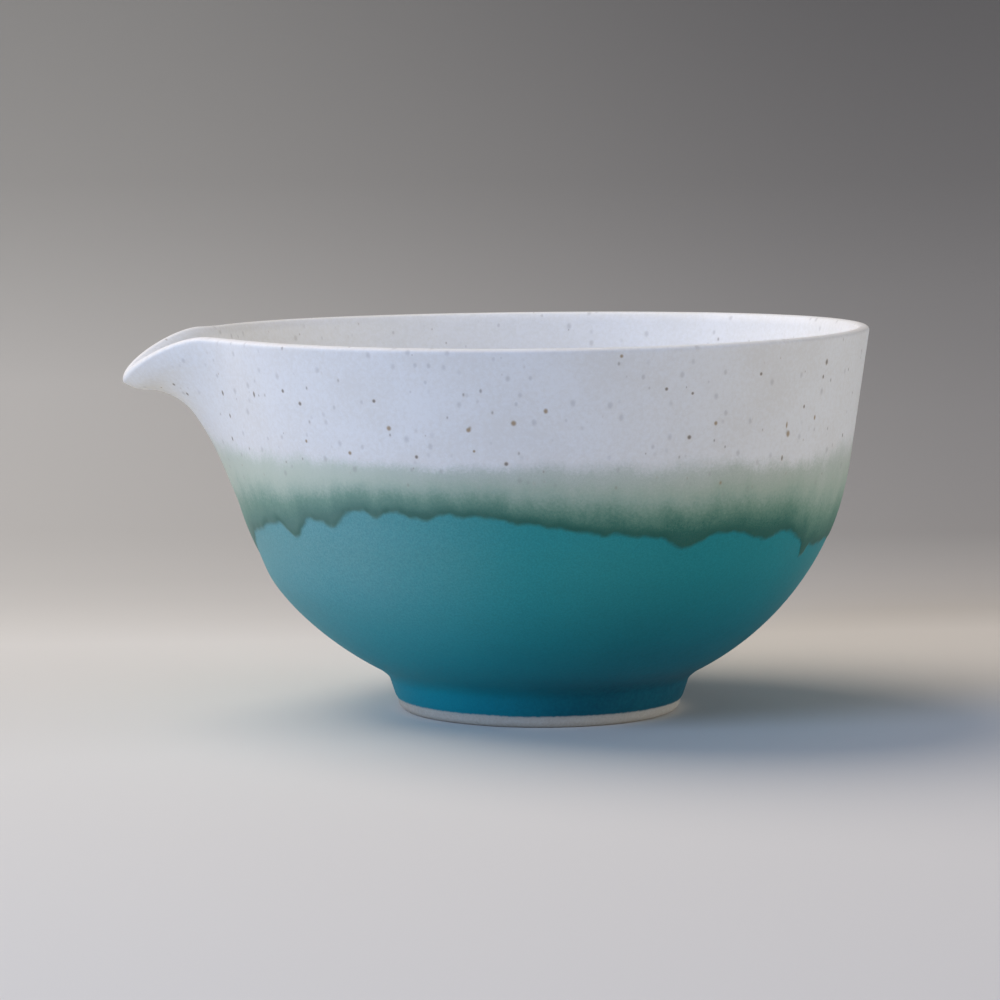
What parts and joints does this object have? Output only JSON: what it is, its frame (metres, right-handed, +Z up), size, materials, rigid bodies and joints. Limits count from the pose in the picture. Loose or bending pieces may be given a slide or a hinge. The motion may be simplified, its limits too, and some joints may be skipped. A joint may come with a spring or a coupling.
{
  "type": "spouted bowl",
  "caption": "Thrown stoneware bowl with a short pulled pouring spout and a turned foot ring, white glaze running over turquoise.",
  "frame": {"origin": "on the table under the middle of the whole bowl, spout included; the bowl's own axis stands at x = 0.0087", "axes": "+Z up, the spout points along -X, and the bowl is the same on both sides of the plane Y = 0"},
  "size_m": [0.148, 0.1308, 0.0771],
  "materials": {
    "stoneware": "matte bare clay",
    "white_glaze": "satin, speckled with iron",
    "green_run": "satin",
    "turquoise_glaze": "matte"
  },
  "bodies": {
    "root": {"bowl_wall": "stoneware", "spout": "stoneware", "foot_ring": "stoneware", "turquoise_glaze_outside": "turquoise_glaze", "foot_well_glaze": "turquoise_glaze", "green_run_glaze": "green_run", "white_glaze_outside": "white_glaze", "white_glaze_inside": "white_glaze"}
  },
  "joints": []
}
